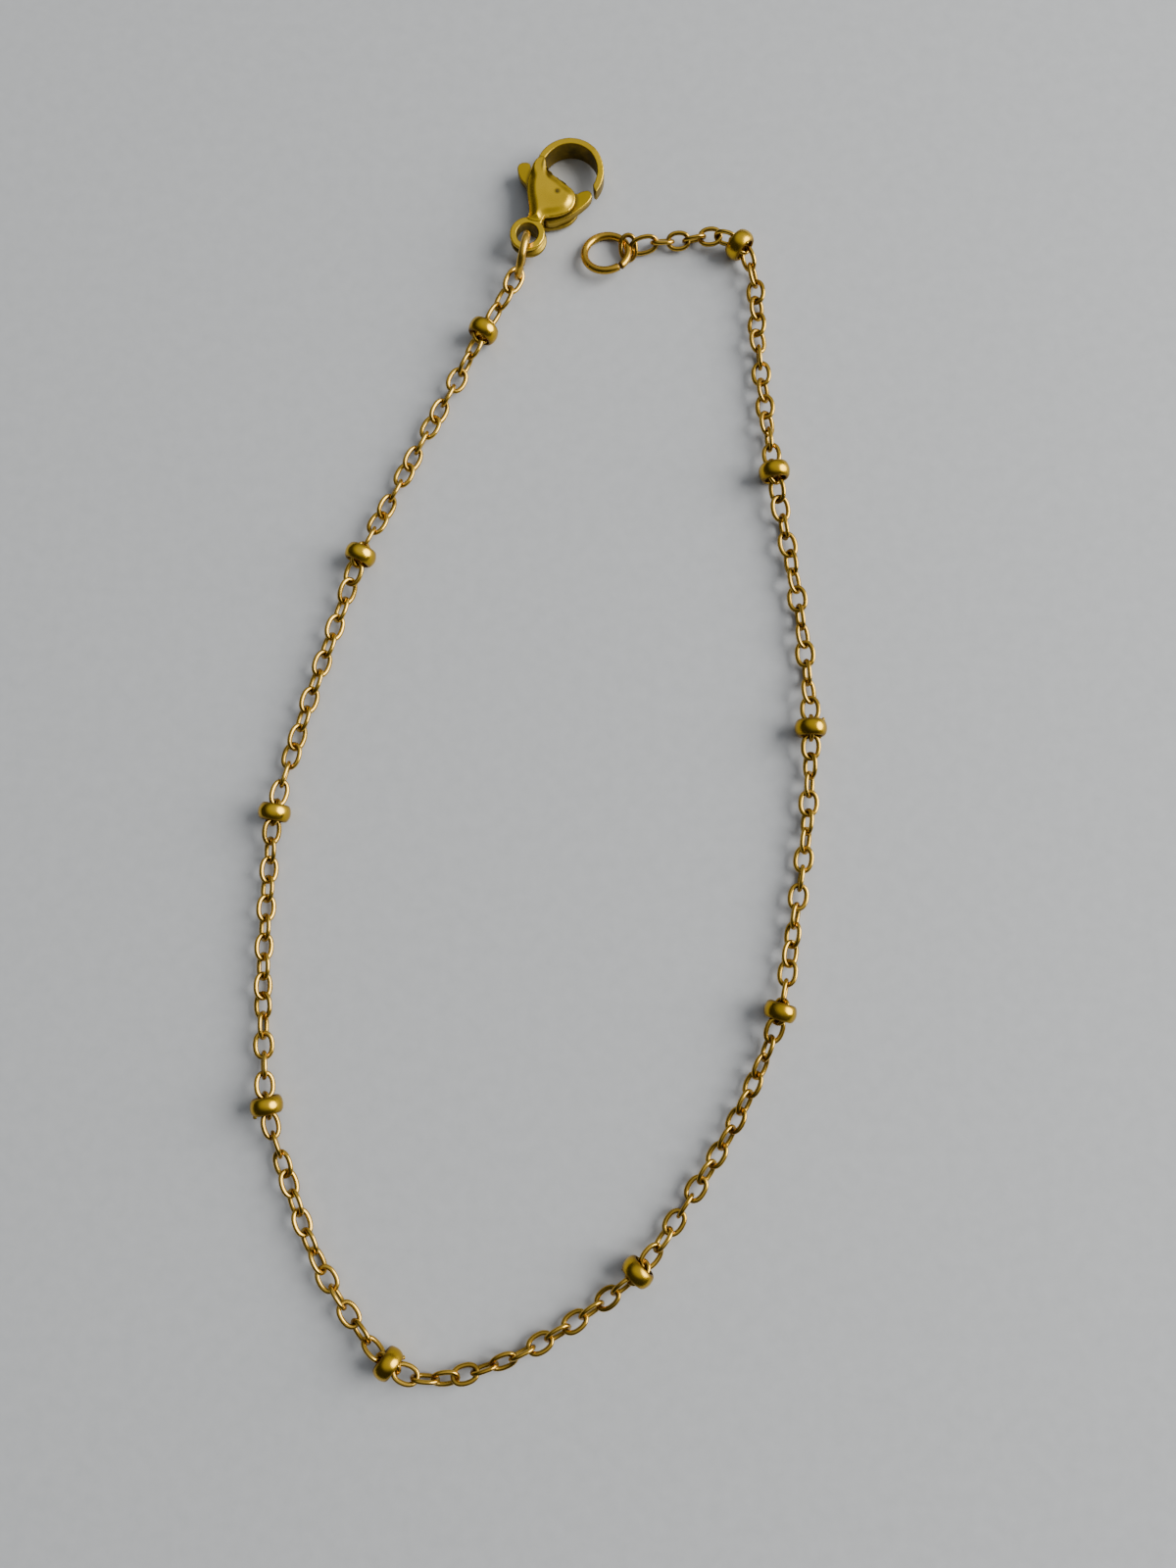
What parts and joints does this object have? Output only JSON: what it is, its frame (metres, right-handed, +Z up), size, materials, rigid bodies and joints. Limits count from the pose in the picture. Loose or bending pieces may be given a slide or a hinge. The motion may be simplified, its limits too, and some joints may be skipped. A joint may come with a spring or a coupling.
{
  "type": "chain anklet",
  "caption": "Unfastened anklet of oval cable chain with small saucer beads, a lobster clasp on a jump ring and an open end ring, lying on its side in a loop.",
  "frame": {"origin": "middle of the footprint, on the floor that the anklet lies on", "axes": "+Y from the far bend of the loop to the clasp, +X to the end-ring side, +Z up from the floor"},
  "size_m": [0.0438, 0.0974, 0.0037],
  "materials": {
    "clasp_gold": "gold-coloured cast metal, tumbled, polished edges and satin faces",
    "ring_gold": "gold-coloured round wire, polished",
    "chain_gold": "gold-coloured flattened wire, polished, darker where the links meet",
    "bead_gold": "gold-coloured pressed shell, polished, with small burrs at the rims"
  },
  "bodies": {
    "anklet": {"clasp_body": "clasp_gold", "clasp_rivet": "clasp_gold", "jump_ring": "ring_gold", "end_ring": "ring_gold", "chain_1": "chain_gold", "chain_2": "chain_gold", "bead_1": "bead_gold", "bead_2": "bead_gold", "bead_3": "bead_gold", "bead_4": "bead_gold", "bead_5": "bead_gold", "bead_6": "bead_gold", "bead_7": "bead_gold", "bead_8": "bead_gold", "bead_9": "bead_gold", "bead_10": "bead_gold"},
    "lever": {"clasp_lever": "clasp_gold"}
  },
  "joints": [
    {"name": "lever_hinge", "type": "hinge", "parent": "anklet", "child": "lever", "pos_m": [0.0011, 0.04391, 0.00111], "axis": [0, 0, 1], "range_deg": [0, 22], "stiffness_Nm_per_rad": 0.01}
  ]
}
